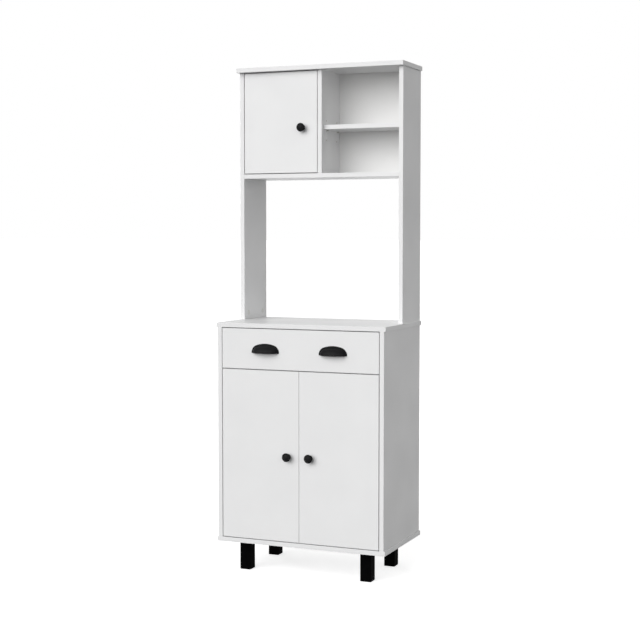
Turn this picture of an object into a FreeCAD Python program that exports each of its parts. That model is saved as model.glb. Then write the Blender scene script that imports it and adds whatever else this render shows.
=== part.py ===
import FreeCAD, Part
import math
import os

from FreeCAD import Vector

# A tall microwave cabinet of 15 mm white melamine board: a base with two doors and a drawer
# under a countertop, and a shallower hutch with an open bay, a cupboard and two open shelves.
# Millimetres, +Z up, the drawer and doors face -Y. The origin is on the floor, midway between
# the two sides and midway between the back edges and the tips of the drawer pulls.

# ---- Driving dimensions ------------------------------------------------------------------
width = 600.0
depth = 350.0
height = 1690.0
board = 15.0
arris = 0.6                  # easing of the banded board edges

leg_height = 100.0
leg_width = 38.0
leg_inset_side = 64.0
leg_inset_front = 43.0

side_overhang = 5.0          # countertop, bottom and top boards past the side panels
counter_height = 835.0
bay_height = 482.0
hutch_depth = 176.0
top_overhang = 18.0          # hutch top board past the hutch sides, at the front

panel_thickness = 3.0        # hardboard backs and drawer bottom
panel_setback = 15.0         # from the rear edges to the back panels
groove_depth = 6.0
groove_play = 0.2

hinge_gap = 2.5              # door edge to side panel
free_gap = 2.0               # latch edge of the upper door, ends of the drawer front
middle_gap = 1.0             # between the two lower doors
end_gap = 2.5                # above and below the doors and the drawer front
front_split = 683.0          # middle of the gap between drawer front and lower doors
split_gap = 3.0

base_shelf_height = 398.0    # undersides of the shelves
upper_shelf_height = 1478.0
open_shelf_setback = 18.0
closed_shelf_setback = 25.0
shelf_play = 0.5
pin_row_pitch = 32.0

rail_depth = 60.0
rail_setback = 20.5
rail_top = 691.0

drawer_board = 12.0
drawer_side_clearance = 12.5
drawer_box_bottom = 700.0
drawer_box_height = 90.0
drawer_box_depth = 300.0
drawer_bottom_lift = 9.0     # from the lower edges of the drawer sides to the bottom panel

knob_height_lower = 400.0
knob_height_upper = 1485.0
knob_from_middle = 39.0
knob_upper_x = -63.0
pull_from_middle = 120.0
pull_bottom = 738.0
pull_projection = 24.0
pull_bead_radius = 2.0

lower_hinge_inset = 90.0     # hinge centres from the ends of the doors
upper_hinge_inset = 70.0

# ---- Hardware sizes ----------------------------------------------------------------------
bore_play = 0.1              # radial room round fixed fasteners
bore_end_room = 0.5          # left past the tip of a screw, pin or dowel
pivot_play = 0.05            # radial running fit of pins and axles

cup_radius = 17.5
cup_wall = 1.0
cup_depth = 11.5
cup_from_edge = 21.5         # cup centre from the hinge edge of the door
cup_screw_pitch = 45.0
cup_screw_offset = 9.5
pivot_from_edge = 10.0       # pivot pin inside the cup, from the door's hinge edge
pivot_depth = 7.0            # and behind the door's front face
pivot_radius = 1.5
pivot_length = 20.0
arm_width = 14.0
arm_gauge = 2.0
arm_length = 62.0            # end of the arm behind the door's front face
arm_screw_y = 52.0           # screws of the arm and of its plate, from the same face
plate_screw_y = 42.0
arm_screw_radius = 2.0
cup_flange = 1.0             # gauge of the cup's screw flange
cup_screw_length = 11.0
cup_screw_radius = 2.0

euro_head_radius = 4.0
euro_head_height = 1.2
euro_shank_radius = 2.5
euro_length = 12.5
euro_pitch = 32.0

cam_radius = 7.4
cam_height = 12.0
cam_from_end = 24.0
cam_recess = 0.3             # cam face below the board's face
cam_floor = 2.5              # board left under a cam
bolt_radius = 3.0
bolt_reach = 21.0            # length of bolt in the board that holds the cam
bolt_grip = 11.0             # length of bolt screwed into the other board
dowel_radius = 4.0
dowel_length = 30.0
dowel_seat = 10.0            # part of the dowel in the board that is drilled on its face

handle_screw_radius = 2.0    # screws of the knobs and cup pulls
handle_screw_grip = 10.0
handle_screw_head = 4.0
handle_screw_crown = 2.4

pin_radius = 2.5
pin_seat = 7.0
pin_reach = 8.0

runner_length = 300.0
runner_gauge = 1.2
runner_bottom = 692.0
runner_channel = 22.0        # height of the fixed channel
roller_radius = 8.7
roller_width = 6.0
axle_radius = 2.5
roller_gap = 0.3             # between a roller's tread and its track
front_roller_z = 709.0
front_roller_setback = 26.0
rear_roller_inset = 12.0
rivet_radius = 4.0           # heads that keep the rollers on their axles
runner_screw_radius = 1.7
runner_screw_length = 10.0

# ---- Levels and faces worked out from the driving dimensions -------------------------------
front = -(depth - pull_projection) / 2     # y of the countertop's front edge
back = front + depth
hutch_front = back - hutch_depth
panel_front = back - panel_setback - panel_thickness

outer_face = width / 2 - side_overhang
inner_face = outer_face - board
middle_of_side = inner_face + board / 2

base_bottom = leg_height + board
counter_bottom = counter_height - board
floor_bottom = counter_height + bay_height
floor_top = floor_bottom + board
top_bottom = height - board

door_bottom = base_bottom + end_gap
door_top = front_split - split_gap / 2
drawer_front_bottom = front_split + split_gap / 2
drawer_front_top = counter_bottom - end_gap
upper_door_bottom = floor_top + end_gap
upper_door_top = top_bottom - end_gap
leg_x = width / 2 - leg_inset_side - leg_width / 2
leg_y = (front + leg_inset_front + leg_width / 2, back - leg_inset_front - leg_width / 2)

drawer_outer = inner_face - drawer_side_clearance
drawer_inner = drawer_outer - drawer_board
drawer_rear = front + board + drawer_box_depth
bottom_panel_z = drawer_box_bottom + drawer_bottom_lift

X_AXIS = Vector(1, 0, 0)
Y_AXIS = Vector(0, 1, 0)
Z_AXIS = Vector(0, 0, 1)
SIDES = {"left": -1, "right": 1}

parts = {}                   # node name -> shape
drilling = {}                # node name -> list of cutting tools


# ---- Shared building blocks ----------------------------------------------------------------
def box(x_span, y_span, z_span):
    """A block between two values on each axis, given in either order."""
    low = [min(span) for span in (x_span, y_span, z_span)]
    size = [abs(span[1] - span[0]) for span in (x_span, y_span, z_span)]
    return Part.makeBox(size[0], size[1], size[2], Vector(*low))


def rod(radius, start, direction, length):
    """A cylinder from a start point along a direction."""
    return Part.makeCylinder(radius, length, Vector(*start), direction)


def group(solids):
    """Separate solids kept together as one node."""
    return Part.Compound(solids)


def mirrored(shape):
    """The same shape on the other side of the middle plane."""
    return shape.mirror(Vector(0, 0, 0), X_AXIS)


def edges_at(shape, axis, position):
    """Edges that lie wholly in the plane where one coordinate has the given value."""
    found = []
    for edge in shape.Edges:
        if all(abs(vertex.Point[axis] - position) < 0.01 for vertex in edge.Vertexes):
            found.append(edge)
    return found


def long_edges(shape, axis):
    """Straight edges that run along one axis."""
    found = []
    for edge in shape.Edges:
        step = edge.Vertexes[0].Point - edge.Vertexes[-1].Point
        if abs(step[axis]) > 0.5 and abs(step.Length - abs(step[axis])) < 0.01:
            found.append(edge)
    return found


def banded_board(x_span, y_span, z_span):
    """A board whose front edge has its edge band's eased arrises."""
    blank = box(x_span, y_span, z_span)
    front_edges = edges_at(blank, 1, min(y_span))
    return blank.makeChamfer(arris, front_edges)


def slab(x_span, y_span, z_span):
    """A board banded all round: a door, a drawer front, a top or a bottom."""
    blank = box(x_span, y_span, z_span)
    return blank.makeChamfer(arris, blank.Edges)


def drill(node, tool):
    """Note a hole, pocket or groove that is cut once every joint has been set out."""
    drilling.setdefault(node, []).append(tool)


# ---- Base: boards, legs and back -----------------------------------------------------------
def make_base():
    parts["bottom_board"] = slab((-width / 2, width / 2), (front, back), (leg_height, base_bottom))
    parts["countertop"] = slab((-width / 2, width / 2), (front, back), (counter_bottom, counter_height))
    for name, side in SIDES.items():
        panel = banded_board((side * inner_face, side * outer_face), (front, back),
                             (base_bottom, counter_bottom))
        parts["base_side_" + name] = panel
        drill("base_side_" + name, back_groove(side, base_bottom, counter_bottom))
    parts["base_back_panel"] = back_panel(base_bottom, counter_bottom)
    parts["front_rail"] = banded_board((-inner_face, inner_face),
                                       (front + rail_setback, front + rail_setback + rail_depth),
                                       (rail_top - board, rail_top))


def back_groove(side, z_low, z_high):
    """The groove in a side panel's inner face that holds a back panel."""
    return box((side * inner_face, side * (inner_face + groove_depth + groove_play)),
               (panel_front, panel_front + panel_thickness + groove_play), (z_low, z_high))


def back_panel(z_low, z_high):
    reach = inner_face + groove_depth
    return box((-reach, reach), (panel_front, panel_front + panel_thickness), (z_low, z_high))


def make_legs():
    leg_edge = 2.0
    foot_chamfer = 1.2
    bolt_in_leg = 30.0
    bolt_in_board = 12.0
    bolt_radius_leg = 4.0
    nut_radius = 6.0
    bolts = []
    nuts = []
    half = leg_width / 2
    for end_name, y in zip(("front", "rear"), leg_y):
        for side_name, side in SIDES.items():
            x = side * leg_x
            leg = box((x - half, x + half), (y - half, y + half), (0, leg_height))
            leg = leg.makeFillet(leg_edge, long_edges(leg, 2))
            leg = leg.makeChamfer(foot_chamfer, edges_at(leg, 2, 0))
            socket_depth = bolt_in_leg + bore_end_room
            socket = rod(bolt_radius_leg + bore_play, (x, y, leg_height - socket_depth), Z_AXIS,
                         socket_depth)
            parts["leg_" + end_name + "_" + side_name] = leg.cut(socket)
            bolt_start = (x, y, leg_height - bolt_in_leg)
            bolts.append(rod(bolt_radius_leg, bolt_start, Z_AXIS, bolt_in_leg + bolt_in_board))
            nut = rod(nut_radius, (x, y, leg_height), Z_AXIS, bolt_in_board)
            nut = nut.cut(rod(bolt_radius_leg + bore_play, (x, y, leg_height), Z_AXIS, bolt_in_board))
            nuts.append(nut)
            pocket_depth = bolt_in_board + bore_end_room
            drill("bottom_board", rod(nut_radius + bore_play, (x, y, leg_height), Z_AXIS, pocket_depth))
    parts["leg_hanger_bolts"] = group(bolts)
    parts["leg_insert_nuts"] = group(nuts)


# ---- Hutch ---------------------------------------------------------------------------------
def make_hutch():
    for name, side in SIDES.items():
        panel = banded_board((side * inner_face, side * outer_face), (hutch_front, back),
                             (counter_height, top_bottom))
        parts["hutch_side_" + name] = panel
        drill("hutch_side_" + name, back_groove(side, floor_top, top_bottom))
    parts["hutch_top"] = slab((-width / 2, width / 2), (hutch_front - top_overhang, back),
                              (top_bottom, height))
    parts["hutch_floor"] = banded_board((-inner_face, inner_face), (hutch_front, back),
                                        (floor_bottom, floor_top))
    parts["hutch_divider"] = banded_board((-board / 2, board / 2), (hutch_front, panel_front),
                                          (floor_top, top_bottom))
    parts["hutch_back_panel"] = back_panel(floor_top, top_bottom)


# ---- Shelves on pins -----------------------------------------------------------------------
def make_shelves():
    pins = []
    base_pin_insets = (62.0, 32.0)     # from the panel's front edge, and from the back panel
    upper_pin_insets = (42.0, 24.0)
    base_y = (front + base_pin_insets[0], panel_front - base_pin_insets[1])
    upper_y = (hutch_front + upper_pin_insets[0], panel_front - upper_pin_insets[1])
    wall = inner_face
    divider = board / 2
    add_shelf("base_shelf", -wall, wall, closed_shelf_setback + front, base_shelf_height)
    add_shelf("cupboard_shelf", -wall, -divider, closed_shelf_setback + hutch_front, upper_shelf_height)
    add_shelf("open_shelf", divider, wall, open_shelf_setback + hutch_front, upper_shelf_height)
    for y in base_y:
        pins.append(shelf_pin("base_side_left", -wall, 1, y, base_shelf_height))
        pins.append(shelf_pin("base_side_right", wall, -1, y, base_shelf_height))
    for y in upper_y:
        pins.append(shelf_pin("hutch_side_left", -wall, 1, y, upper_shelf_height))
        pins.append(shelf_pin("hutch_divider", -divider, -1, y, upper_shelf_height))
        pins.append(shelf_pin("hutch_divider", divider, 1, y, upper_shelf_height))
        pins.append(shelf_pin("hutch_side_right", wall, -1, y, upper_shelf_height))
    parts["shelf_pins"] = group(pins)


def add_shelf(node, x_low, x_high, y_front, z):
    parts[node] = banded_board((x_low + shelf_play, x_high - shelf_play), (y_front, panel_front - shelf_play),
                               (z, z + board))


def shelf_pin(node, x_face, outward, y, shelf_z):
    """A pin in the middle one of three holes, so that the shelf can be moved a step up or down."""
    radius = pin_radius - bore_play / 2
    z = shelf_z - radius
    direction = X_AXIS * outward
    hole_depth = pin_seat + bore_end_room
    for step in (-1, 0, 1):
        hole_end = (x_face - outward * hole_depth, y, z + step * pin_row_pitch)
        drill(node, rod(pin_radius, hole_end, direction, hole_depth))
    return rod(radius, (x_face - outward * pin_seat, y, z), direction, pin_seat + pin_reach)


# ---- Knock-down fittings that hold the boards together -------------------------------------
def offset(point, direction, distance):
    return tuple(Vector(*point) + direction * distance)


def cam_lock(node, end_point, inward, opens, thickness=board):
    """A cam in a board's face that grips the bolt coming in through the board's end."""
    centre = offset(end_point, inward, cam_from_end)
    depth_here = min(cam_height, thickness - cam_floor)
    seat = offset(centre, opens, thickness / 2 - cam_recess - depth_here)
    pocket = rod(cam_radius + bore_play, seat, opens, depth_here + cam_recess)
    bore = rod(bolt_radius + bore_play, end_point, inward, cam_from_end)
    drill(node, pocket)
    drill(node, bore)
    cam = rod(cam_radius, seat, opens, depth_here)
    driver_slot = cam_slot(offset(seat, opens, depth_here), opens, inward)
    return cam.cut(bore).cut(driver_slot)


def cam_slot(face_point, opens, inward):
    """The screwdriver slot across a cam's open face."""
    slot_length = 9.0
    slot_width = 1.4
    slot_depth = 1.5
    across = opens.cross(inward)
    corner = Vector(*face_point) - across * (slot_width / 2) - inward * (slot_length / 2)
    outline = [corner, corner + inward * slot_length]
    outline += [outline[1] + across * slot_width, corner + across * slot_width, corner]
    return Part.Face(Part.makePolygon(outline)).extrude(opens * -slot_depth)


def cam_bolt(node, end_point, inward):
    """A bolt screwed into one board's face, reaching into the cam of the other board."""
    start = offset(end_point, inward, -bolt_grip)
    drill(node, rod(bolt_radius + bore_play, start, inward, bolt_grip))
    return rod(bolt_radius, start, inward, bolt_grip + bolt_reach)


def dowel(face_node, end_node, point, inward, into_end):
    """A beech dowel across a joint: a short seat in the face, the rest in the other board's end."""
    start = offset(point, inward, -dowel_seat)
    drill(face_node, rod(dowel_radius, start, inward, dowel_seat))
    drill(end_node, rod(dowel_radius, point, inward, into_end + bore_end_room))
    return rod(dowel_radius - bore_play, start, inward, dowel_seat + into_end)


def make_fittings():
    cams = []
    bolts = []
    dowels = []
    into_end = dowel_length - dowel_seat
    front_y = front + 40.0
    shared_y = (hutch_front + 31.0, panel_front - 14.0)
    base_dowel_y = front + 120.0
    hutch_dowel_y = hutch_front + 88.0
    rail_cam_y = front + rail_setback + 42.0
    rail_dowel_y = front + rail_setback + 14.0
    divider_dowel_inset = 35.0
    for name, side in SIDES.items():
        x = side * middle_of_side
        inner = X_AXIS * -side
        base_side = "base_side_" + name
        hutch_side = "hutch_side_" + name
        # the base side stands on the bottom board
        for y in (front_y, shared_y[1]):
            point = (x, y, base_bottom)
            cams.append(cam_lock(base_side, point, Z_AXIS, inner))
            bolts.append(cam_bolt("bottom_board", point, Z_AXIS))
        dowels.append(dowel("bottom_board", base_side, (x, base_dowel_y, base_bottom), Z_AXIS, into_end))
        # the countertop on the base side
        point = (x, front_y, counter_bottom)
        cams.append(cam_lock(base_side, point, -Z_AXIS, inner))
        bolts.append(cam_bolt("countertop", point, -Z_AXIS))
        dowels.append(dowel("countertop", base_side, (x, base_dowel_y, counter_bottom), -Z_AXIS, into_end))
        # double-ended bolts hold the base side, the countertop and the hutch side together
        for y in shared_y:
            cams.append(cam_lock(base_side, (x, y, counter_bottom), -Z_AXIS, inner))
            cams.append(cam_lock(hutch_side, (x, y, counter_height), Z_AXIS, inner))
            bolt_start = (x, y, counter_bottom - bolt_reach)
            bolts.append(rod(bolt_radius, bolt_start, Z_AXIS, board + 2 * bolt_reach))
            drill("countertop", rod(bolt_radius + bore_play, (x, y, counter_bottom), Z_AXIS, board))
        # the hutch top on the hutch side
        for y in shared_y:
            point = (x, y, top_bottom)
            cams.append(cam_lock(hutch_side, point, -Z_AXIS, inner))
            bolts.append(cam_bolt("hutch_top", point, -Z_AXIS))
        dowels.append(dowel("hutch_top", hutch_side, (x, hutch_dowel_y, top_bottom), -Z_AXIS, into_end))
        # the hutch floor between the hutch sides
        floor_z = floor_bottom + board / 2
        for y in shared_y:
            point = (side * inner_face, y, floor_z)
            cams.append(cam_lock("hutch_floor", point, inner, Z_AXIS))
            bolts.append(cam_bolt(hutch_side, point, inner))
        point = (side * inner_face, hutch_dowel_y, floor_z)
        dowels.append(dowel(hutch_side, "hutch_floor", point, inner, into_end))
        # the front rail between the base sides
        rail_z = rail_top - board / 2
        point = (side * inner_face, rail_cam_y, rail_z)
        cams.append(cam_lock("front_rail", point, inner, -Z_AXIS))
        bolts.append(cam_bolt(base_side, point, inner))
        point = (side * inner_face, rail_dowel_y, rail_z)
        dowels.append(dowel(base_side, "front_rail", point, inner, into_end))
    # the divider between the hutch floor and the hutch top
    for y in (hutch_front + divider_dowel_inset, panel_front - divider_dowel_inset):
        dowels.append(dowel("hutch_floor", "hutch_divider", (0, y, floor_top), Z_AXIS, into_end))
        dowels.append(dowel("hutch_top", "hutch_divider", (0, y, top_bottom), -Z_AXIS, into_end))
    parts["cam_locks"] = group(cams)
    parts["cam_bolts"] = group(bolts)
    parts["dowels"] = group(dowels)


# ---- Concealed cup hinges, drawn for a door hinged on its left edge ------------------------
# In these functions x runs inward from the door's hinge edge and y backward from its front face.
def hinge_cup():
    """The pressed cup with its screw flange and the two lugs that hold the pivot pin."""
    centre = (cup_from_edge, board - cup_depth + bore_play, 0)
    outer_radius = cup_radius - bore_play
    cup = rod(outer_radius, centre, Y_AXIS, cup_depth - bore_play)
    ear = cup_screw_pitch / 2 + 6.0
    ear_corner = 5.0
    flange = box((cup_from_edge - 2.0, cup_from_edge + cup_radius), (board, board + cup_flange),
                 (-ear, ear))
    flange = flange.makeFillet(ear_corner, long_edges(flange, 1))
    rim = rod(cup_radius + 1.0, (cup_from_edge, board, 0), Y_AXIS, cup_flange)
    floor_y = centre[1] + cup_wall
    hollow = rod(outer_radius - cup_wall, (cup_from_edge, floor_y, 0), Y_AXIS, cup_depth + cup_flange)
    lug_reach = 2.8
    lug_inside = arm_width / 2 + 0.6
    lug_outside = lug_inside + 2.8
    lugs = []
    for end in (-1, 1):
        lug = box((pivot_from_edge - lug_reach, pivot_from_edge + lug_reach),
                  (floor_y, pivot_depth + lug_reach), (end * lug_inside, end * lug_outside))
        lugs.append(lug.common(rod(outer_radius, centre, Y_AXIS, cup_depth)))
    shell = cup.fuse([flange, rim]).cut(hollow).fuse(lugs)
    screw_holes = []
    for end in (-1, 1):
        spot = (cup_from_edge + cup_screw_offset, board, end * cup_screw_pitch / 2)
        screw_holes.append(rod(cup_screw_radius + 0.2, spot, Y_AXIS, 2 * cup_flange))
    return shell.cut(screw_holes + [pivot_pin(pivot_play / 2)]).removeSplitter()


def pivot_pin(extra=0.0):
    """The pin that the arm turns on, held by the cup's lugs."""
    half_length = pivot_length / 2 + extra
    return rod(pivot_radius + extra, (pivot_from_edge, pivot_depth, -half_length), Z_AXIS, 2 * half_length)


def cup_screws():
    head_radius = 3.6
    head_height = 1.6
    screws = []
    for end in (-1, 1):
        spot = (cup_from_edge + cup_screw_offset, board + cup_flange, end * cup_screw_pitch / 2)
        head = rod(head_radius, spot, Y_AXIS, head_height)
        shank = rod(cup_screw_radius, spot, -Y_AXIS, cup_screw_length)
        screws.append(head.fuse(shank))
    return screws


def cup_pockets():
    """What is milled and drilled out of the back of the door for one hinge."""
    pocket = rod(cup_radius, (cup_from_edge, board - cup_depth, 0), Y_AXIS, cup_depth)
    tools = [pocket]
    bore_depth = cup_screw_length - cup_flange + bore_end_room
    for end in (-1, 1):
        spot = (cup_from_edge + cup_screw_offset, board, end * cup_screw_pitch / 2)
        tools.append(rod(cup_screw_radius + bore_play, spot, -Y_AXIS, bore_depth))
    return tools


def hinge_arm():
    """The cranked arm: eye on the pin, neck out of the cup, channel along the side panel."""
    eye_radius = 2.3
    neck_inside = pivot_from_edge + 10.0
    neck_outside = neck_inside + arm_gauge
    tongue_low = pivot_depth - 0.7 * arm_gauge
    return_low = pivot_depth + 13.5
    channel_low = return_low + 3.5
    channel_depth = 8.0
    channel_wall = 1.5
    plate_face = -hinge_gap + arm_gauge
    outline = [
        (pivot_from_edge, tongue_low),
        (neck_outside, tongue_low),
        (neck_outside, return_low + arm_gauge),
        (plate_face + arm_gauge, return_low + arm_gauge),
        (plate_face + arm_gauge, arm_length),
        (plate_face, arm_length),
        (plate_face, return_low),
        (neck_inside, return_low),
        (neck_inside, tongue_low + arm_gauge),
        (pivot_from_edge, tongue_low + arm_gauge),
    ]
    strip = prism(outline, -arm_width / 2, arm_width)
    eye = rod(eye_radius, (pivot_from_edge, pivot_depth, -arm_width / 2), Z_AXIS, arm_width)
    bore = rod(pivot_radius + pivot_play, (pivot_from_edge, pivot_depth, -arm_width / 2), Z_AXIS, arm_width)
    flanges = []
    for end in (-1, 1):
        flanges.append(box((plate_face, plate_face + channel_depth), (channel_low, arm_length),
                           (end * (arm_width / 2 - channel_wall), end * arm_width / 2)))
    arm = strip.fuse([eye] + flanges).cut(bore)
    return arm.cut(arm_screw_hole()).removeSplitter()


def prism(outline, z_low, length):
    """A straight strip with the given outline in plan."""
    points = [Vector(x, y, z_low) for x, y in outline]
    points.append(points[0])
    return Part.Face(Part.makePolygon(points)).extrude(Z_AXIS * length)


def arm_screw_hole():
    """The hole through the arm and its plate."""
    return rod(arm_screw_radius + 0.2, (-hinge_gap, arm_screw_y, 0), X_AXIS, 3 * arm_gauge)


def hinge_plate():
    """The cross-shaped mounting plate under the arm."""
    spine_span = (30.0, 66.0)
    wing_half_width = 6.0
    wing_reach = 24.0
    wing_corner = 5.0
    gauge_span = (-hinge_gap, -hinge_gap + arm_gauge)
    spine = box(gauge_span, spine_span, (-arm_width / 2, arm_width / 2))
    wings = box(gauge_span, (plate_screw_y - wing_half_width, plate_screw_y + wing_half_width),
                (-wing_reach, wing_reach))
    wings = wings.makeFillet(wing_corner, long_edges(wings, 0))
    plate = spine.fuse(wings).cut(arm_screw_hole())
    for end in (-1, 1):
        spot = (-hinge_gap, plate_screw_y, end * euro_pitch / 2)
        plate = plate.cut(rod(euro_shank_radius + bore_play, spot, X_AXIS, arm_gauge))
    return plate.removeSplitter()


def arm_screw():
    """The machine screw that clamps the arm to its plate."""
    head_radius = 3.5
    head_height = 2.0
    face = -hinge_gap + 2 * arm_gauge
    head = rod(head_radius, (face, arm_screw_y, 0), X_AXIS, head_height)
    shank = rod(arm_screw_radius, (face, arm_screw_y, 0), -X_AXIS, 2 * arm_gauge)
    return head.fuse(shank)


def euro_screw(spot, direction):
    """A flat-headed system screw; spot is the middle of the underside of its head."""
    head = rod(euro_head_radius, spot, -direction, euro_head_height)
    shank = rod(euro_shank_radius, spot, direction, euro_length)
    return head.fuse(shank)


def plate_screws():
    screws = []
    for end in (-1, 1):
        spot = (-hinge_gap + arm_gauge, plate_screw_y, end * euro_pitch / 2)
        screws.append(euro_screw(spot, -X_AXIS))
    return screws


def plate_screw_bores():
    bores = []
    bore_depth = euro_length - arm_gauge + bore_end_room
    for end in (-1, 1):
        spot = (-hinge_gap, plate_screw_y, end * euro_pitch / 2)
        bores.append(rod(euro_shank_radius + bore_play, spot, -X_AXIS, bore_depth))
    return bores


def placed(shapes, edge_x, face_y, z, side):
    """Hinge pieces moved to a door edge; side is 1 for a door hinged on its right."""
    moved = []
    for shape in shapes:
        item = shape.copy()
        item.translate(Vector(-abs(edge_x), face_y, z))
        moved.append(mirrored(item) if side > 0 else item)
    return moved


# ---- Doors ---------------------------------------------------------------------------------
def make_doors():
    edge = inner_face - hinge_gap
    plates = []
    arms = []
    arm_screws = []
    system_screws = []
    doors = [
        ("lower_left_door", -1, middle_gap / 2, front, door_bottom, door_top,
         lower_hinge_inset, knob_from_middle, knob_height_lower, "base_side_left"),
        ("lower_right_door", 1, middle_gap / 2, front, door_bottom, door_top,
         lower_hinge_inset, knob_from_middle, knob_height_lower, "base_side_right"),
        ("upper_door", -1, board / 2 + free_gap, hutch_front, upper_door_bottom, upper_door_top,
         upper_hinge_inset, -knob_upper_x, knob_height_upper, "hutch_side_left"),
    ]
    for name, side, free_edge, face_y, z_low, z_high, inset, knob_x, knob_z, panel in doors:
        leaf = slab((side * free_edge, side * edge), (face_y, face_y + board), (z_low, z_high))
        cups = []
        screws = []
        for z in (z_low + inset, z_high - inset):
            cups += placed([hinge_cup(), pivot_pin()], edge, face_y, z, side)
            screws += placed(cup_screws(), edge, face_y, z, side)
            leaf = leaf.cut(placed(cup_pockets(), edge, face_y, z, side))
            plates += placed([hinge_plate()], edge, face_y, z, side)
            arms += placed([hinge_arm()], edge, face_y, z, side)
            arm_screws += placed([arm_screw()], edge, face_y, z, side)
            system_screws += placed(plate_screws(), edge, face_y, z, side)
            for bore in placed(plate_screw_bores(), edge, face_y, z, side):
                drill(panel, bore)
        leaf = leaf.cut(rod(handle_screw_radius + 0.2, (side * knob_x, face_y, knob_z), Y_AXIS, board))
        screws.append(handle_screw(side * knob_x, face_y, knob_z))
        parts[name] = leaf
        parts[name + "_knob"] = knob(side * knob_x, face_y, knob_z)
        parts[name + "_screws"] = group(screws)
        parts[name + "_hinge_cups"] = group(cups)
    parts["hinge_plates"] = group(plates)
    parts["hinge_arms"] = group(arms)
    parts["hinge_arm_screws"] = group(arm_screws)
    return system_screws


# ---- Knobs and cup pulls -------------------------------------------------------------------
def knob(x, face_y, z):
    """A turned mushroom knob: foot, waisted neck, flared cap with a rolled rim."""
    foot_radius = 10.0
    neck_radius = 6.0
    rim_radius = 14.5
    projection = 23.0
    dome_edge = Vector(13.3, 18.2, 0)
    dome_centre = (projection ** 2 - dome_edge.Length ** 2) / (2 * (projection - dome_edge.y))
    dome_radius = projection - dome_centre
    half_angle = math.atan2(dome_edge.x, dome_edge.y - dome_centre) / 2
    dome_middle = Vector(dome_radius * math.sin(half_angle),
                         dome_centre + dome_radius * math.cos(half_angle), 0)
    curves = [
        Part.LineSegment(Vector(0, 0, 0), Vector(foot_radius, 0, 0)),
        Part.LineSegment(Vector(foot_radius, 0, 0), Vector(foot_radius, 1.5, 0)),
        Part.Arc(Vector(foot_radius, 1.5, 0), Vector(7.17, 2.67, 0), Vector(neck_radius, 5.5, 0)),
        Part.Arc(Vector(neck_radius, 5.5, 0), Vector(7.7, 10.8, 0), Vector(12.8, 13.6, 0)),
        Part.Arc(Vector(12.8, 13.6, 0), Vector(rim_radius, 15.7, 0), dome_edge),
        Part.Arc(dome_edge, dome_middle, Vector(0, projection, 0)),
        Part.LineSegment(Vector(0, projection, 0), Vector(0, 0, 0)),
    ]
    outline = Part.Wire([curve.toShape() for curve in curves])
    turned = Part.Face(outline).revolve(Vector(0, 0, 0), Y_AXIS, 360)
    bore_depth = handle_screw_grip + bore_end_room
    turned = turned.cut(rod(handle_screw_radius + bore_play, (0, 0, 0), Y_AXIS, bore_depth))
    turned.rotate(Vector(0, 0, 0), Z_AXIS, 180)
    turned.translate(Vector(x, face_y, z))
    return turned


def handle_screw(x, face_y, z):
    """A pan-head screw from the back of a front into a knob or a pull."""
    head = rod(handle_screw_head, (x, face_y + board, z), Y_AXIS, handle_screw_crown)
    shank = rod(handle_screw_radius, (x, face_y - handle_screw_grip, z), Y_AXIS, board + handle_screw_grip)
    return head.fuse(shank)


def pull_arcs(half_width, rise, end_radius):
    """Two small end arcs tangent to one large middle arc, standing on the x axis, bulging to -Y."""
    end_centre = half_width - end_radius
    step = rise - end_radius
    middle_centre = (end_centre ** 2 - step ** 2) / (2 * step)
    lean = math.atan2(middle_centre, end_centre)
    elbow_x = end_centre + end_radius * math.cos(lean / 2)
    elbow_y = -end_radius * math.sin(lean / 2)
    tangent_x = end_centre + end_radius * math.cos(lean)
    tangent_y = -end_radius * math.sin(lean)
    curves = [
        Part.Arc(Vector(-half_width, 0, 0), Vector(-elbow_x, elbow_y, 0), Vector(-tangent_x, tangent_y, 0)),
        Part.Arc(Vector(-tangent_x, tangent_y, 0), Vector(0, -rise, 0), Vector(tangent_x, tangent_y, 0)),
        Part.Arc(Vector(tangent_x, tangent_y, 0), Vector(elbow_x, elbow_y, 0), Vector(half_width, 0, 0)),
    ]
    return [curve.toShape() for curve in curves]


def pull_arch(half_width, rise, end_radius):
    """The arcs closed by their chord, as a face."""
    chord = Part.makeLine(Vector(half_width, 0, 0), Vector(-half_width, 0, 0))
    return Part.Face(Part.Wire(pull_arcs(half_width, rise, end_radius) + [chord]))


def swept_up(face, start_angle, end_angle):
    """Turn the plan face about the x axis, from below the horizontal up to the drawer front."""
    start = face.copy()
    start.rotate(Vector(0, 0, 0), X_AXIS, start_angle)
    return start.revolve(Vector(0, 0, 0), -X_AXIS, start_angle + end_angle)


def cup_pull(centre_x):
    """A bin pull: thin domed shell, open below and behind, with a beaded lip, a flat rim and bosses."""
    wall = 2.0
    dome_half_width = 44.0
    dome_rise = pull_projection - pull_bead_radius + wall / 2
    dome_end_radius = 19.5
    overcut_angle = 8.0
    boss_radius = 4.2
    hollow_plan = (dome_half_width - wall, dome_rise - wall, dome_end_radius - wall)
    bead_path = (dome_half_width - wall / 2, dome_rise - wall / 2, dome_end_radius - wall / 2)
    dome = swept_up(pull_arch(dome_half_width, dome_rise, dome_end_radius), 0, 90)
    hollow = swept_up(pull_arch(*hollow_plan), overcut_angle, 90 + overcut_angle)
    bosses = []
    bores = []
    for spot_x, spot_z in pull_screw_spots():
        seat = (spot_x, 0, spot_z)
        bosses.append(rod(boss_radius, seat, -Y_AXIS, pull_projection).common(dome))
        bores.append(rod(handle_screw_radius + bore_play, seat, -Y_AXIS, handle_screw_grip + bore_end_room))
    pieces = [pull_rim(hollow_plan), pull_bead(bead_path)] + bosses
    pull = dome.cut(hollow).fuse(pieces).cut(bores)
    pull = pull.removeSplitter()
    pull.translate(Vector(centre_x, front, pull_axis_z()))
    return pull


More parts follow.
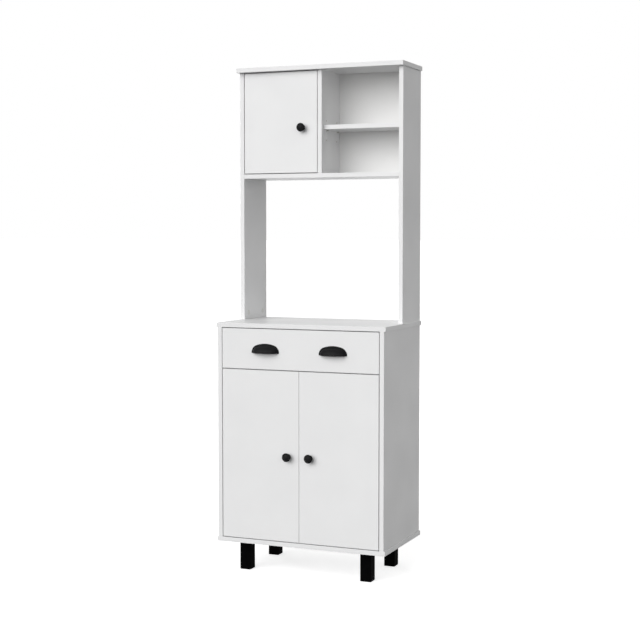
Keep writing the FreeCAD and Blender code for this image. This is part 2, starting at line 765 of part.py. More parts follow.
def pull_rim(opening):
    """The flat plate that lies on the drawer front round the dome, with short feet beside the lip."""
    half_width = 49.0
    rise = 29.5
    end_radius = 25.5
    gauge = 2.2
    foot = 1.6
    plate = pull_arch(half_width, rise, end_radius)
    plate.rotate(Vector(0, 0, 0), X_AXIS, -90)
    feet = box((-half_width, half_width), (-gauge, 0), (-foot, 0))
    gap = box((-opening[0], opening[0]), (-gauge, 0), (-foot, 0))
    hole = pull_arch(*opening)
    hole.rotate(Vector(0, 0, 0), X_AXIS, -90)
    rim = plate.extrude(Y_AXIS * -gauge).fuse(feet).removeSplitter()
    return rim.cut([hole.extrude(Y_AXIS * -gauge), gap])


def pull_bead(path):
    """A round bead along the dome's lower edge, from one foot of the rim to the other."""
    start = Vector(-path[0], 0, 0)
    ring = Part.Wire([Part.makeCircle(pull_bead_radius, start, Y_AXIS)])
    ring.rotate(start, Y_AXIS, 45)      # the round surface's seam clears the lip's flat edge
    return Part.Wire(pull_arcs(*path)).makePipeShell([ring], True, False)


def pull_screw_spots():
    """Screw centres from the pull's middle and above its axis."""
    half_pitch = 32.0
    rise = 8.5
    return [(-half_pitch, rise), (half_pitch, rise)]


def pull_axis_z():
    return pull_bottom + pull_bead_radius


# ---- Drawer --------------------------------------------------------------------------------
def make_drawer():
    drawer_top = drawer_box_bottom + drawer_box_height
    sides_front = front + board
    groove_reach = 5.5
    lower_fitting_rise = 28.0
    upper_fitting_drop = 20.0
    face_edge = inner_face - free_gap
    parts["drawer_front"] = slab((-face_edge, face_edge), (front, front + board),
                                 (drawer_front_bottom, drawer_front_top))
    panel = box((-drawer_inner - groove_reach, drawer_inner + groove_reach),
                (sides_front - groove_reach, drawer_rear), (bottom_panel_z, bottom_panel_z + panel_thickness))
    parts["drawer_bottom"] = panel
    groove = box((-drawer_inner - groove_reach - groove_play, drawer_inner + groove_reach + groove_play),
                 (sides_front - groove_reach - groove_play, drawer_rear),
                 (bottom_panel_z, bottom_panel_z + panel_thickness + groove_play))
    back_bottom = bottom_panel_z + panel_thickness + groove_play
    parts["drawer_back"] = box((-drawer_inner, drawer_inner), (drawer_rear - drawer_board, drawer_rear),
                               (back_bottom, drawer_top))
    drill("drawer_front", groove)
    cams = []
    back_screws = []
    for name, side in SIDES.items():
        node = "drawer_side_" + name
        blank = box((side * drawer_inner, side * drawer_outer), (sides_front, drawer_rear),
                    (drawer_box_bottom, drawer_top))
        parts[node] = blank.makeChamfer(arris, edges_at(blank, 2, drawer_top))
        drill(node, groove)
        x = side * (drawer_inner + drawer_board / 2)
        for z in (drawer_box_bottom + lower_fitting_rise, drawer_top - upper_fitting_drop):
            point = (x, sides_front, z)
            cams.append(cam_lock(node, point, Y_AXIS, X_AXIS * -side, drawer_board))
            cams.append(cam_bolt("drawer_front", point, Y_AXIS))
            back_screws.append(back_screw(node, side, z))
        parts["cup_pull_" + name] = cup_pull(side * pull_from_middle)
    parts["drawer_cams"] = group(cams)
    parts["drawer_back_screws"] = group(back_screws)
    pull_screws = []
    for side in SIDES.values():
        for spot in pull_screw_spots():
            x = side * pull_from_middle + spot[0]
            z = pull_axis_z() + spot[1]
            pull_screws.append(handle_screw(x, front, z))
            drill("drawer_front", rod(handle_screw_radius + 0.2, (x, front, z), Y_AXIS, board))
    parts["cup_pull_screws"] = group(pull_screws)


def back_screw(side_node, side, z):
    """A countersunk screw through a drawer side into the end of the drawer back."""
    head_radius = 3.8
    head_height = 2.4
    shank_radius = 1.8
    length = 34.0
    y = drawer_rear - drawer_board / 2
    inward = X_AXIS * -side
    head = Part.makeCone(head_radius, shank_radius, head_height, Vector(side * drawer_outer, y, z), inward)
    sink = Part.makeCone(head_radius + bore_play, shank_radius + bore_play, head_height,
                         Vector(side * drawer_outer, y, z), inward)
    shank = rod(shank_radius, (side * drawer_outer, y, z), inward, length)
    bore = rod(shank_radius + bore_play, (side * drawer_outer, y, z), inward, length + bore_end_room)
    drill(side_node, sink)
    drill(side_node, bore)
    drill("drawer_back", bore)
    return head.fuse(shank)


# ---- Roller runners, drawn for the left side -----------------------------------------------
def cabinet_runner():
    """The fixed channel, with its front roller's axle riveted to the web."""
    track_width = 8.9
    axle_length = 7.4
    rivet_height = 0.8
    wall_x = -inner_face
    web_x = wall_x + runner_gauge
    lip_x = web_x + track_width
    y_low = front + rail_setback - 0.5
    y_high = y_low + runner_length
    bottom = runner_bottom
    top = runner_bottom + runner_channel
    channel_start = front + front_roller_setback + roller_radius + 4.0
    tab_top = front_roller_z + 6.0
    web = box((wall_x, web_x), (y_low, y_high), (bottom, top))
    roller_tab = box((wall_x, web_x), (y_low, channel_start), (bottom, tab_top))
    track = box((wall_x, lip_x), (y_low, y_high), (bottom, bottom + runner_gauge))
    cap = box((wall_x, lip_x), (channel_start, y_high), (top - runner_gauge, top))
    roller_y = front + front_roller_setback
    axle = rod(axle_radius, (web_x, roller_y, front_roller_z), X_AXIS, axle_length + rivet_height)
    rivet = rod(rivet_radius, (web_x + axle_length, roller_y, front_roller_z), X_AXIS, rivet_height)
    runner = web.fuse([roller_tab, track, cap, axle, rivet])
    for y in cabinet_runner_screw_y():
        spot = (wall_x, y, runner_screw_z())
        runner = runner.cut(rod(euro_shank_radius + bore_play, spot, X_AXIS, runner_gauge))
    return runner.removeSplitter()


def cabinet_runner_screw_y():
    return (front + 58.0, front + 186.0, front + 298.0)


def runner_screw_z():
    return runner_bottom + runner_channel / 2


def drawer_runner():
    """The moving angle under the drawer side, with its outer track and the rear roller's axle."""
    track_width = 8.8
    axle_length = 7.6
    rivet_height = 0.7
    wood_x = -drawer_outer
    web_x = wood_x - runner_gauge
    lip_x = web_x - track_width
    bottom = drawer_box_bottom - runner_gauge
    track_z = front_roller_z + roller_radius + roller_gap
    y_low = front + board + 1.0
    y_high = drawer_rear
    web = box((web_x, wood_x), (y_low, y_high), (bottom, track_z + runner_gauge))
    ledge = box((web_x, wood_x + drawer_board), (y_low, y_high), (bottom, drawer_box_bottom))
    track = box((lip_x, wood_x), (y_low, y_high), (track_z, track_z + runner_gauge))
    y = drawer_rear - rear_roller_inset
    axle = rod(axle_radius, (web_x, y, rear_roller_z()), -X_AXIS, axle_length)
    rivet = rod(rivet_radius, (web_x - axle_length, y, rear_roller_z()), -X_AXIS, rivet_height)
    runner = web.fuse([ledge, track, axle, rivet])
    for y in drawer_runner_screw_y():
        spot = (web_x, y, drawer_runner_screw_z())
        runner = runner.cut(rod(runner_screw_radius + 0.2, spot, X_AXIS, runner_gauge))
    return runner.removeSplitter()


def rear_roller_z():
    return runner_bottom + runner_gauge + roller_gap + roller_radius


def drawer_runner_screw_y():
    return (front + 50.0, front + 250.0)


def drawer_runner_screw_z():
    return drawer_box_bottom + 5.0


def roller(x_face, y, z):
    """A nylon roller with a running bore and eased rims; x_face is its outer side."""
    rim_easing = 0.6
    tyre = rod(roller_radius, (x_face, y, z), X_AXIS, roller_width)
    rims = [edge for edge in tyre.Edges if isinstance(edge.Curve, Part.Circle)]
    tyre = tyre.makeChamfer(rim_easing, rims)
    return tyre.cut(rod(axle_radius + pivot_play, (x_face, y, z), X_AXIS, roller_width))


def make_runners():
    front_side_play = 0.8
    rear_side_play = 0.9
    front_x = -inner_face + runner_gauge + front_side_play
    rear_x = -drawer_outer - runner_gauge - rear_side_play - roller_width
    rear_y = drawer_rear - rear_roller_inset
    left = {
        "cabinet_runner": cabinet_runner(),
        "drawer_runner": drawer_runner(),
        "front_roller": roller(front_x, front + front_roller_setback, front_roller_z),
        "rear_roller": roller(rear_x, rear_y, rear_roller_z()),
    }
    for name, shape in left.items():
        parts[name + "_left"] = shape
        parts[name + "_right"] = mirrored(shape)
    system_screws = []
    runner_screws = []
    for name, side in SIDES.items():
        for y in cabinet_runner_screw_y():
            spot = (side * (inner_face - runner_gauge), y, runner_screw_z())
            system_screws.append(euro_screw(spot, X_AXIS * side))
            wall_spot = (side * inner_face, y, runner_screw_z())
            bore_depth = euro_length - runner_gauge + bore_end_room
            bore = rod(euro_shank_radius + bore_play, wall_spot, X_AXIS * side, bore_depth)
            drill("base_side_" + name, bore)
        for y in drawer_runner_screw_y():
            runner_screws.append(runner_screw("drawer_side_" + name, side, y))
    parts["drawer_runner_screws"] = group(runner_screws)
    return system_screws


def runner_screw(side_node, side, y):
    """A small pan-head screw through the moving runner into the drawer side."""
    head_radius = 3.0
    head_height = 1.2
    face = side * (drawer_outer + runner_gauge)
    inward = X_AXIS * -side
    head = rod(head_radius, (face, y, drawer_runner_screw_z()), -inward, head_height)
    shank = rod(runner_screw_radius, (face, y, drawer_runner_screw_z()), inward, runner_screw_length)
    bore_start = (side * drawer_outer, y, drawer_runner_screw_z())
    bore_depth = runner_screw_length - runner_gauge + bore_end_room
    drill(side_node, rod(runner_screw_radius + bore_play, bore_start, inward, bore_depth))
    return head.fuse(shank)


# ---- Build ---------------------------------------------------------------------------------
def build():
    make_base()
    make_legs()
    make_hutch()
    make_shelves()
    make_fittings()
    make_drawer()
    hinge_screws = make_doors()
    track_screws = make_runners()
    parts["euro_screws"] = group(hinge_screws + track_screws)
    for node, tools in drilling.items():
        parts[node] = parts[node].cut(tools)


build()
os.makedirs("parts", exist_ok=True)
for node_name, node_shape in parts.items():
    node_shape.exportStep("parts/" + node_name + ".step")
print("nodes", len(parts))
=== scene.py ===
import bmesh
import bpy
import math
from mathutils import Matrix, Vector


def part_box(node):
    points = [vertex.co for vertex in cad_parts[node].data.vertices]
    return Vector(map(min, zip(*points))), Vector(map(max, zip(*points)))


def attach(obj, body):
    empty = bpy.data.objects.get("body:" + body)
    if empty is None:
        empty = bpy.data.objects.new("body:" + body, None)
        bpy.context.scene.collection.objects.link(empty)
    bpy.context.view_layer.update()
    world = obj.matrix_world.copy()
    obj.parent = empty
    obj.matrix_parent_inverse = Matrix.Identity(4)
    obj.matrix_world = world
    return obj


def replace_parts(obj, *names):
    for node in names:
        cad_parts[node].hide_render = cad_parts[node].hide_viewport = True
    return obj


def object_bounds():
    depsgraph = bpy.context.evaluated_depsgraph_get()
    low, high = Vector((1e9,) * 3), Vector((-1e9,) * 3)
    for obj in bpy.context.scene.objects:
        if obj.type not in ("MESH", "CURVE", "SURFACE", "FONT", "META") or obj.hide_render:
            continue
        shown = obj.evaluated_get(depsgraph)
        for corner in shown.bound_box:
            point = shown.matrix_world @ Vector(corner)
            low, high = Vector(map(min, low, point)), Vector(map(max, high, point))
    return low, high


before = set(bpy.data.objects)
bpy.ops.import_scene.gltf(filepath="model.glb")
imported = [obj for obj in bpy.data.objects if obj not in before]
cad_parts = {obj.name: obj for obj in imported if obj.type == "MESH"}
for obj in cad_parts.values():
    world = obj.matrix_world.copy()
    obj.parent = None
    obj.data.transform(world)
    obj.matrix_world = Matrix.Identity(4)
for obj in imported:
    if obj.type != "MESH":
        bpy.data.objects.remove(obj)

cadLow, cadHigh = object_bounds()
millimetre = 0.001
mergeDistance = 0.001 * millimetre
sharpAngle = math.radians(35)    # edges sharper than this stay crisp on the new pieces


# small helpers for materials: each adds a node and gives back its output
def newFinish(name, metallic=0.0, specular=0.5):
    finish = bpy.data.materials.new(name)
    finish.use_nodes = True
    shader = finish.node_tree.nodes["Principled BSDF"]
    shader.inputs["Metallic"].default_value = metallic
    shader.inputs["Specular IOR Level"].default_value = specular
    return finish, shader


def addNode(finish, kind, **settings):
    node = finish.node_tree.nodes.new("ShaderNode" + kind)
    for key, value in settings.items():
        setattr(node, key, value)
    return node


def plug(finish, socket, value):
    if isinstance(value, bpy.types.NodeSocket):
        finish.node_tree.links.new(value, socket)
    else:
        socket.default_value = value


def placeOn(finish, stretch=(1, 1, 1)):
    mapping = addNode(finish, "Mapping")
    plug(finish, mapping.inputs["Vector"], addNode(finish, "TexCoord").outputs["Object"])
    mapping.inputs["Scale"].default_value = stretch
    return mapping.outputs["Vector"]


def noiseOn(finish, place, perMetre, detail=2.0, rough=0.5):
    noise = addNode(finish, "TexNoise")
    plug(finish, noise.inputs["Vector"], place)
    noise.inputs["Scale"].default_value = perMetre
    noise.inputs["Detail"].default_value = detail
    noise.inputs["Roughness"].default_value = rough
    return noise.outputs["Fac"]


def spread(finish, value, low, high, fromLow=0.3, fromHigh=0.7):
    spreadNode = addNode(finish, "MapRange")    # a noise value stretched to a useful range
    plug(finish, spreadNode.inputs["Value"], value)
    for socket, number in zip(spreadNode.inputs[1:5], (fromLow, fromHigh, low, high)):
        socket.default_value = number
    return spreadNode.outputs["Result"]


def blendColours(finish, share, first, second):
    mix = addNode(finish, "Mix", data_type="RGBA")
    for socket, value in zip((mix.inputs[0], mix.inputs[6], mix.inputs[7]), (share, first, second)):
        plug(finish, socket, value)
    return mix.outputs[2]


def calculate(finish, operation, first, second=0.0):
    node = addNode(finish, "Math", operation=operation)
    plug(finish, node.inputs[0], first)
    plug(finish, node.inputs[1], second)
    return node.outputs["Value"]


def relief(finish, shader, height, depth, strength=1.0):
    bump = addNode(finish, "Bump")
    bump.inputs["Strength"].default_value = strength
    bump.inputs["Distance"].default_value = depth
    plug(finish, bump.inputs["Height"], height)
    plug(finish, shader.inputs["Normal"], bump.outputs["Normal"])


# white melamine board: a faintly pearled foil, and raw chipboard in the bores and where an edge has no band
melamineLook = {
    "foil": (0.795, 0.796, 0.797, 1),
    "cloud": (0.770, 0.771, 0.773, 1),
    "cloudsPerMetre": 7.0,
    "pearlsPerMetre": 1400.0,
    "pearlDepth": 0.03 * millimetre,
    "smooth": 0.30,
    "dull": 0.40,
    "specular": 0.35,
    "openBacked": ("base_side_left", "base_side_right", "hutch_side_left", "hutch_side_right", "hutch_floor"),
}
chipboardLook = {
    "pale": (0.50, 0.36, 0.21, 1),
    "dark": (0.20, 0.12, 0.06, 1),
    "chipsPerMetre": 420.0,
    "rough": 0.85,
    "skin": 0.8 * millimetre,     # of a board: deeper in than this, a face is a bore or a groove
    "bandThickness": 0.4 * millimetre,
}


def axesOf(finish, place):
    axes = addNode(finish, "SeparateXYZ")
    plug(finish, axes.inputs["Vector"], place)
    return axes.outputs["X"], axes.outputs["Y"], axes.outputs["Z"]


# 1 where chipboard shows, and 0 on a board's faces, bands and eased edges
def rawShare(finish, place, node):
    axes = axesOf(finish, place)
    share = 1.0
    for value, low, high in zip(axes, *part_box(node)):
        fromMiddle = calculate(finish, "ABSOLUTE", calculate(finish, "SUBTRACT", value, (low + high) / 2))
        deep = calculate(finish, "LESS_THAN", fromMiddle, (high - low) / 2 - chipboardLook["skin"])
        share = calculate(finish, "MULTIPLY", deep, share)
    if node in melamineLook["openBacked"]:
        rear = calculate(finish, "GREATER_THAN", axes[1], cadHigh.y - chipboardLook["bandThickness"])
        share = calculate(finish, "MAXIMUM", share, rear)
    return share


def melamineFinish(node):
    finish, shader = newFinish("whiteMelamine_" + node, specular=melamineLook["specular"])
    place = placeOn(finish)
    clouds = noiseOn(finish, place, melamineLook["cloudsPerMetre"], 3.0)
    pearls = noiseOn(finish, place, melamineLook["pearlsPerMetre"], 1.0)
    foil = blendColours(finish, spread(finish, clouds, 0, 1), melamineLook["foil"], melamineLook["cloud"])
    sheen = spread(finish, clouds, melamineLook["smooth"], melamineLook["dull"])
    chips = addNode(finish, "TexVoronoi")
    plug(finish, chips.inputs["Vector"], place)
    chips.inputs["Scale"].default_value = chipboardLook["chipsPerMetre"]
    grey = addNode(finish, "RGBToBW")
    plug(finish, grey.inputs["Color"], chips.outputs["Color"])
    wood = blendColours(finish, grey.outputs["Val"], chipboardLook["dark"], chipboardLook["pale"])
    raw = rawShare(finish, place, node)
    rough = calculate(finish, "MAXIMUM", sheen, calculate(finish, "MULTIPLY", raw, chipboardLook["rough"]))
    pits = calculate(finish, "MULTIPLY", raw, chips.outputs["Distance"])
    plug(finish, shader.inputs["Base Color"], blendColours(finish, raw, foil, wood))
    plug(finish, shader.inputs["Roughness"], rough)
    relief(finish, shader, calculate(finish, "ADD", pearls, pits), melamineLook["pearlDepth"])
    return finish


# thin hardboard: white paper on the side that shows, brown fibres and the press screen's mark behind
hardboardLook = {
    "paper": (0.790, 0.788, 0.782, 1),
    "paperShade": (0.770, 0.767, 0.760, 1),
    "fibre": (0.285, 0.165, 0.088, 1),
    "fibreShade": (0.165, 0.088, 0.044, 1),
    "fibresPerMetre": (260.0, 260.0, 90.0),
    "screenPerMetre": 330.0,
    "screenDepth": 0.12 * millimetre,
    "screenStrength": 0.5,
    "cloudsPerMetre": 9.0,
    "smooth": 0.45,
    "dull": 0.75,
    "specular": 0.3,
}


def hardboardFinish():
    finish, shader = newFinish("whiteBackedHardboard", specular=hardboardLook["specular"])
    place = placeOn(finish)
    fibres = noiseOn(finish, placeOn(finish, hardboardLook["fibresPerMetre"]), 1.0, 4.0, 0.65)
    brown = blendColours(finish, spread(finish, fibres, 0, 1), hardboardLook["fibreShade"], hardboardLook["fibre"])
    clouds = spread(finish, noiseOn(finish, place, hardboardLook["cloudsPerMetre"], 3.0), 0, 1)
    white = blendColours(finish, clouds, hardboardLook["paper"], hardboardLook["paperShade"])
    facing = axesOf(finish, addNode(finish, "TexCoord").outputs["Normal"])
    toRear = calculate(finish, "GREATER_THAN", facing[1], 0.5)
    toFloor = calculate(finish, "LESS_THAN", facing[2], -0.5)
    behind = calculate(finish, "MAXIMUM", toRear, toFloor)
    plug(finish, shader.inputs["Base Color"], blendColours(finish, behind, white, brown))
    rough = spread(finish, behind, hardboardLook["smooth"], hardboardLook["dull"], 0, 1)
    plug(finish, shader.inputs["Roughness"], rough)
    mesh = axesOf(finish, placeOn(finish, [hardboardLook["screenPerMetre"] * math.tau] * 3))
    screen = calculate(finish, "MULTIPLY", calculate(finish, "SINE", mesh[0]), calculate(finish, "SINE", mesh[2]))
    depth, strength = hardboardLook["screenDepth"], hardboardLook["screenStrength"]
    relief(finish, shader, calculate(finish, "MULTIPLY", behind, screen), depth, strength)
    return finish


# one look for each painted, plated or moulded piece: colours, grain size and depth, roughness range
plainLooks = {
    "pullEnamel": {
        "colour": (0.0100, 0.0100, 0.0105, 1), "second": (0.0065, 0.0065, 0.0070, 1), "grains": 60.0,
        "reliefs": 900.0, "depth": 0.03, "rough": (0.34, 0.46), "specular": 0.06,
    },
    "legPaint": {
        "colour": (0.0030, 0.0030, 0.0031, 1), "second": (0.0020, 0.0020, 0.0021, 1), "grains": 40.0,
        "reliefs": 1200.0, "depth": 0.05, "rough": (0.50, 0.62), "specular": 0.004,
    },
    "nickelPlate": {
        "colour": (0.66, 0.65, 0.62, 1), "second": (0.52, 0.51, 0.49, 1), "grains": 240.0,
        "reliefs": 1500.0, "depth": 0.02, "rough": (0.24, 0.38), "specular": 0.5, "metallic": 1.0,
    },
    "castZinc": {
        "colour": (0.50, 0.50, 0.52, 1), "second": (0.36, 0.36, 0.38, 1), "grains": 500.0,
        "reliefs": 900.0, "depth": 0.06, "rough": (0.42, 0.58), "specular": 0.5, "metallic": 1.0,
    },
    "runnerPaint": {
        "colour": (0.76, 0.75, 0.72, 1), "second": (0.72, 0.71, 0.68, 1), "grains": 30.0,
        "reliefs": 600.0, "depth": 0.05, "rough": (0.28, 0.38), "specular": 0.4,
    },
    "whiteNylon": {
        "colour": (0.74, 0.74, 0.72, 1), "second": (0.66, 0.66, 0.63, 1), "grains": 300.0,
        "reliefs": 1600.0, "depth": 0.03, "rough": (0.35, 0.48), "specular": 0.4,
    },
    "beech": {
        "colour": (0.55, 0.36, 0.20, 1), "second": (0.38, 0.23, 0.12, 1), "grains": 500.0,
        "reliefs": 900.0, "depth": 0.10, "rough": (0.55, 0.70), "specular": 0.3,
    },
}


def plainFinish(name):
    look = plainLooks[name]
    finish, shader = newFinish(name, look.get("metallic", 0.0), look["specular"])
    place = placeOn(finish)
    grains = noiseOn(finish, place, look["grains"], 3.0)
    colour = blendColours(finish, spread(finish, grains, 0, 1), look["colour"], look["second"])
    plug(finish, shader.inputs["Base Color"], colour)
    plug(finish, shader.inputs["Roughness"], spread(finish, grains, *look["rough"]))
    relief(finish, shader, noiseOn(finish, place, look["reliefs"], 1.0), look["depth"] * millimetre)
    return finish


finishes = {
    "hardboard": hardboardFinish(),
    "handle_black": plainFinish("pullEnamel"),
    "leg_black": plainFinish("legPaint"),
    "plated_steel": plainFinish("nickelPlate"),
    "zinc": plainFinish("castZinc"),
    "beech": plainFinish("beech"),
    "runner_white": plainFinish("runnerPaint"),
    "nylon": plainFinish("whiteNylon"),
}
for node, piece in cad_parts.items():
    slotName = piece.material_slots[0].material.name
    piece.material_slots[0].material = melamineFinish(node) if slotName == "white_board" else finishes[slotName]
print("finishes:", len({piece.active_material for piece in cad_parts.values()}))


# the solids of one node, each as a list of its points
def solidsOf(node):
    copy = bmesh.new()
    copy.from_mesh(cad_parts[node].data)
    bmesh.ops.remove_doubles(copy, verts=copy.verts, dist=mergeDistance)
    waiting = set(copy.verts)
    solids = []
    for seed in copy.verts:
        if seed not in waiting:
            continue
        waiting.remove(seed)
        reached = [seed]
        for vertex in reached:
            for edge in vertex.link_edges:
                other = edge.other_vert(vertex)
                if other in waiting:
                    waiting.remove(other)
                    reached.append(other)
        solids.append([vertex.co.copy() for vertex in reached])
    copy.free()
    return solids


def spanOf(points):
    low = Vector([min(point[axis] for point in points) for axis in range(3)])
    high = Vector([max(point[axis] for point in points) for axis in range(3)])
    return low, high


def addTo(whole, part, place):
    part.transform(place)
    mesh = bpy.data.meshes.new("part")
    part.to_mesh(mesh)
    part.free()
    whole.from_mesh(mesh)
    bpy.data.meshes.remove(mesh)


def standingAt(point, outward):
    turn = Vector((0, 0, 1)).rotation_difference(outward).to_matrix().to_4x4()
    return Matrix.Translation(point) @ turn


def highestFace(shape):
    return max(shape.faces, key=lambda face: face.calc_center_median().z)


def lowestFace(shape):
    return min(shape.faces, key=lambda face: face.calc_center_median().z)


def newPiece(name, shape, finish, body):
    mesh = bpy.data.meshes.new(name)
    shape.to_mesh(mesh)
    shape.free()
    piece = bpy.data.objects.new(name, mesh)
    bpy.context.scene.collection.objects.link(piece)
    mesh.materials.append(finish)
    mesh.shade_smooth()
    mesh.set_sharp_from_angle(angle=sharpAngle)
    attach(piece, body)
    return piece


# white press-in covers over the cams
coverLook = {
    "radius": 8.6 * millimetre,
    "height": 1.0 * millimetre,
    "roundedEdge": 0.6 * millimetre,
    "spigotRadius": 7.2 * millimetre,
    "spigotDepth": 0.25 * millimetre,
    "segments": 36,
    "edgeSegments": 4,
    "leastThickness": 0.25,    # of a cam's diagonal: flatter solids get no cover
}


def coverShape():
    shape = bmesh.new()
    radius, height = coverLook["radius"], coverLook["height"]
    bmesh.ops.create_cone(shape, cap_ends=True, segments=coverLook["segments"], radius1=radius, radius2=radius,
                          depth=height, matrix=Matrix.Translation((0, 0, height / 2)))
    bmesh.ops.bevel(shape, geom=highestFace(shape).edges[:], offset=coverLook["roundedEdge"],
                    segments=coverLook["edgeSegments"], profile=0.5, affect="EDGES", material=-1)
    under = lowestFace(shape)
    bmesh.ops.inset_region(shape, faces=[under], thickness=radius - coverLook["spigotRadius"])
    spigot = bmesh.ops.extrude_discrete_faces(shape, faces=[under])["faces"][0]
    bmesh.ops.translate(shape, verts=spigot.verts, vec=(0, 0, -coverLook["spigotDepth"]))
    return shape


# a cam shows in the board's face that it lies nearest to
def openingOf(low, high, axis, boards):
    middle = (low + high) / 2
    for board in boards:
        boardLow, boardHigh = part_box(board)
        if all(boardLow[i] <= middle[i] <= boardHigh[i] for i in range(3)):
            above, below = boardHigh[axis] - high[axis], low[axis] - boardLow[axis]
            middle[axis] = boardHigh[axis] if above < below else boardLow[axis]
            outward = Vector((0, 0, 0))
            outward[axis] = 1 if above < below else -1
            return middle, outward
    return None


def camCovers(name, camNode, boards, body):
    covers = bmesh.new()
    for points in solidsOf(camNode):
        low, high = spanOf(points)
        size = high - low
        axis = min(range(3), key=lambda index: size[index])
        found = openingOf(low, high, axis, boards)
        if found and size[axis] > size.length * coverLook["leastThickness"]:
            addTo(covers, coverShape(), standingAt(*found))
    newPiece(name, covers, finishes["nylon"], body)


cabinetBoards = ("base_side_left", "base_side_right", "hutch_side_left", "hutch_side_right",
                 "hutch_floor", "front_rail")
camCovers("cam_covers", "cam_locks", cabinetBoards, "carcass")
camCovers("drawer_cam_covers", "drawer_cams", ("drawer_side_left", "drawer_side_right"), "drawer")
print("cam covers made")


# screws with rounded or sunk heads and a cross recess, on the sizes of the plain ones that they stand for
screwLook = {
    "segments": 32,
    "edgeSegments": 4,
    "rounding": 0.45,         # of the head's height
    "rim": 0.2,               # of the head's radius, around the recess
    "sunkBelow": 0.9,         # a head whose underside is narrower than this share is sunk
    "recessReach": 0.56,      # of the head's radius
    "recessWidth": 0.13,
    "recessDepth": 0.62,      # of the head's height
    "recessTaper": 0.5,
    "tip": 0.6,               # of the shank's radius
}


def crossRadius(angle, reach, halfWidth):
    across, up = max(abs(math.cos(angle)), 1e-6), max(abs(math.sin(angle)), 1e-6)
    return max(min(reach / across, halfWidth / up), min(halfWidth / across, reach / up))


def screwShape(headRadius, headHeight, shankRadius, shankLength, sunk):
    shape = bmesh.new()
    bmesh.ops.create_cone(shape, cap_ends=True, segments=screwLook["segments"], depth=headHeight,
                          radius1=shankRadius if sunk else headRadius, radius2=headRadius,
                          matrix=Matrix.Translation((0, 0, headHeight / 2)))
    if not sunk:
        bmesh.ops.bevel(shape, geom=highestFace(shape).edges[:], offset=headHeight * screwLook["rounding"],
                        segments=screwLook["edgeSegments"], profile=0.5, affect="EDGES", material=-1)
    recess = highestFace(shape)
    bmesh.ops.inset_region(shape, faces=[recess], thickness=headRadius * screwLook["rim"])
    for corner in recess.verts:
        angle = math.atan2(corner.co.y, corner.co.x)
        out = crossRadius(angle, screwLook["recessReach"], screwLook["recessWidth"]) * headRadius
        corner.co.x, corner.co.y = out * math.cos(angle), out * math.sin(angle)
    floor = bmesh.ops.extrude_discrete_faces(shape, faces=[recess])["faces"][0]
    bmesh.ops.translate(shape, verts=floor.verts, vec=(0, 0, -headHeight * screwLook["recessDepth"]))
    bmesh.ops.scale(shape, verts=floor.verts, vec=(screwLook["recessTaper"], screwLook["recessTaper"], 1))
    under = lowestFace(shape)
    if not sunk:
        bmesh.ops.inset_region(shape, faces=[under], thickness=headRadius - shankRadius)
    shank = bmesh.ops.extrude_discrete_faces(shape, faces=[under])["faces"][0]
    bmesh.ops.translate(shape, verts=shank.verts, vec=(0, 0, -shankLength + shankRadius))
    tip = bmesh.ops.extrude_discrete_faces(shape, faces=[shank])["faces"][0]
    bmesh.ops.translate(shape, verts=tip.verts, vec=(0, 0, -shankRadius))
    bmesh.ops.scale(shape, verts=tip.verts, vec=(screwLook["tip"], screwLook["tip"], 1))
    return shape


def radiusAt(points, middle, axis, level):
    ring = [point - middle for point in points if abs(point[axis] - level) < 0.01 * millimetre]
    return max(Vector([value for index, value in enumerate(point) if index != axis]).length for point in ring)


def crossHeadScrews(name, node, axis, body):
    screws = bmesh.new()
    for points in solidsOf(node):
        low, high = spanOf(points)
        middle = (low + high) / 2
        ends = (low[axis], high[axis])
        tipLevel, topLevel = sorted(ends, key=lambda level: radiusAt(points, middle, axis, level))
        headRadius = radiusAt(points, middle, axis, topLevel)
        shankRadius = radiusAt(points, middle, axis, tipLevel)
        levels = sorted((point[axis] for point in points), key=lambda level: abs(level - topLevel))
        underLevel = next(level for level in levels if abs(level - topLevel) > 0.1 * millimetre)
        sunk = radiusAt(points, middle, axis, underLevel) < headRadius * screwLook["sunkBelow"]
        outward = Vector((0, 0, 0))
        outward[axis] = 1 if topLevel > tipLevel else -1
        middle[axis] = underLevel
        shape = screwShape(headRadius, abs(topLevel - underLevel), shankRadius, abs(underLevel - tipLevel), sunk)
        addTo(screws, shape, standingAt(middle, outward))
    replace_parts(newPiece(name, screws, finishes["plated_steel"], body), node)


alongX, alongY = 0, 1
crossHeadScrews("system_screws", "euro_screws", alongX, "carcass")
crossHeadScrews("arm_screws", "hinge_arm_screws", alongX, "carcass")
crossHeadScrews("pull_screws", "cup_pull_screws", alongY, "drawer")
crossHeadScrews("back_screws", "drawer_back_screws", alongX, "drawer")
crossHeadScrews("runner_screws", "drawer_runner_screws", alongX, "drawer")
for door in ("upper_door", "lower_left_door", "lower_right_door"):
    crossHeadScrews(door + "_cross_screws", door + "_screws", alongY, door)
print("screws made")


# 1 for the rays that see the backdrop: from the camera, off a gloss or through glass
def seenByCamera(owner):
    rays = addNode(owner, "LightPath")
    direct = calculate(owner, "MAXIMUM", rays.outputs["Is Camera Ray"], rays.outputs["Is Glossy Ray"])
    return calculate(owner, "MAXIMUM", direct, rays.outputs["Is Transmission Ray"])


# pale floor: white to the camera, but for the cabinet's soft shadow
floorLook = {
    "size": 400.0,
    "paint": (0.70, 0.70, 0.70, 1),
    "bounce": (0.12, 0.12, 0.12, 1),
    "glow": 0.72,
}


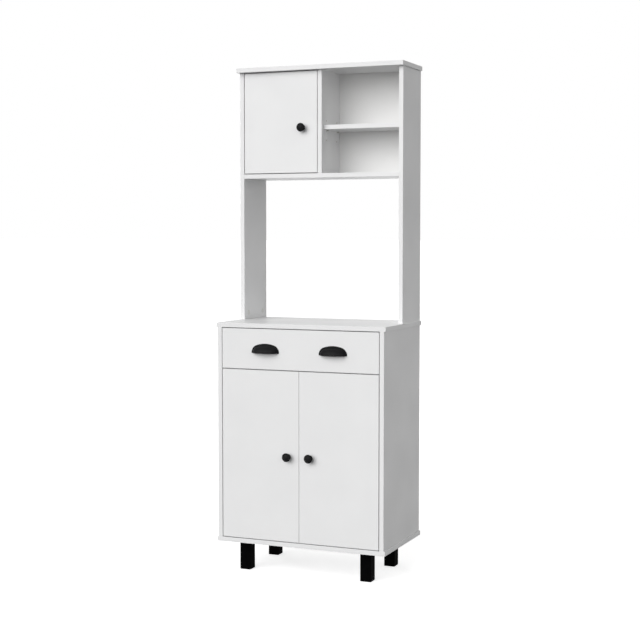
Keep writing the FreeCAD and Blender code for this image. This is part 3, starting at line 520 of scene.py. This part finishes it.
def makeFloor():
    shape = bmesh.new()
    bmesh.ops.create_grid(shape, x_segments=1, y_segments=1, size=floorLook["size"] / 2)
    mesh = bpy.data.meshes.new("floor")
    shape.to_mesh(mesh)
    shape.free()
    floor = bpy.data.objects.new("floor", mesh)
    bpy.context.scene.collection.objects.link(floor)
    finish = bpy.data.materials.new("studioFloor")
    finish.use_nodes = True
    finish.node_tree.nodes.clear()
    seen = seenByCamera(finish)
    paint = addNode(finish, "BsdfDiffuse")
    plug(finish, paint.inputs["Color"], blendColours(finish, seen, floorLook["bounce"], floorLook["paint"]))
    glow = addNode(finish, "Emission")
    plug(finish, glow.inputs["Strength"], calculate(finish, "MULTIPLY", seen, floorLook["glow"]))
    both = addNode(finish, "AddShader")
    plug(finish, both.inputs[0], paint.outputs["BSDF"])
    plug(finish, both.inputs[1], glow.outputs["Emission"])
    plug(finish, addNode(finish, "OutputMaterial").inputs["Surface"], both.outputs["Shader"])
    mesh.materials.append(finish)


# lamps: a wide soft light from the front left, soft boxes at the right and at the rear left, a grey surround
studioLook = {
    "surround": 0.40,
    "keyLight": {"place": (-3.0, -8.0, 3.2), "spread": 60.0, "strength": 2.70},
    "boxes": {
        "sideBox": {"place": (4.2, -2.6, 1.6), "width": 3.0, "height": 3.0, "watts": 27.0},
        "rearBox": {"place": (-7.0, 5.0, 1.6), "width": 3.0, "height": 2.0, "watts": 170.0},
    },
}


def addLamp(name, kind, place, strength):
    light = bpy.data.lights.new(name, kind)
    light.energy = strength
    holder = bpy.data.objects.new(name, light)
    bpy.context.scene.collection.objects.link(holder)
    holder.location = place
    holder.rotation_euler = (-Vector(place)).to_track_quat("-Z", "Y").to_euler()  # aimed at the cabinet's foot
    return light


def makeLights():
    key = studioLook["keyLight"]
    light = addLamp("keyLight", "SUN", key["place"], key["strength"])
    light.angle = math.radians(key["spread"])
    for name, box in studioLook["boxes"].items():
        light = addLamp(name, "AREA", box["place"], box["watts"])
        light.shape = "RECTANGLE"
        light.size, light.size_y = box["width"], box["height"]
    world = bpy.data.worlds.new("studio")
    bpy.context.scene.world = world
    world.use_nodes = True
    sky = world.node_tree.nodes["Background"]
    grey = studioLook["surround"]
    plug(world, sky.inputs["Color"], blendColours(world, seenByCamera(world), (grey, grey, grey, 1), (1, 1, 1, 1)))


# the photograph's view: 22.9 degrees round to the right, looking 3.6 degrees down
cameraLook = {
    "place": (1.7855, -4.2107, 1.1312),
    "turn": 22.91,
    "dip": 3.63,
    "lens": 76.83,
    "sensor": 36.0,
}


def makeCamera():
    camera = bpy.data.cameras.new("camera")
    camera.sensor_width = cameraLook["sensor"]
    camera.lens = cameraLook["lens"]
    holder = bpy.data.objects.new("camera", camera)
    bpy.context.scene.collection.objects.link(holder)
    holder.location = cameraLook["place"]
    holder.rotation_euler = (math.radians(90 - cameraLook["dip"]), 0, math.radians(cameraLook["turn"]))
    bpy.context.scene.camera = holder


makeFloor()
makeLights()
makeCamera()
bpy.context.scene.view_settings.view_transform = "Standard"
print("studio set")
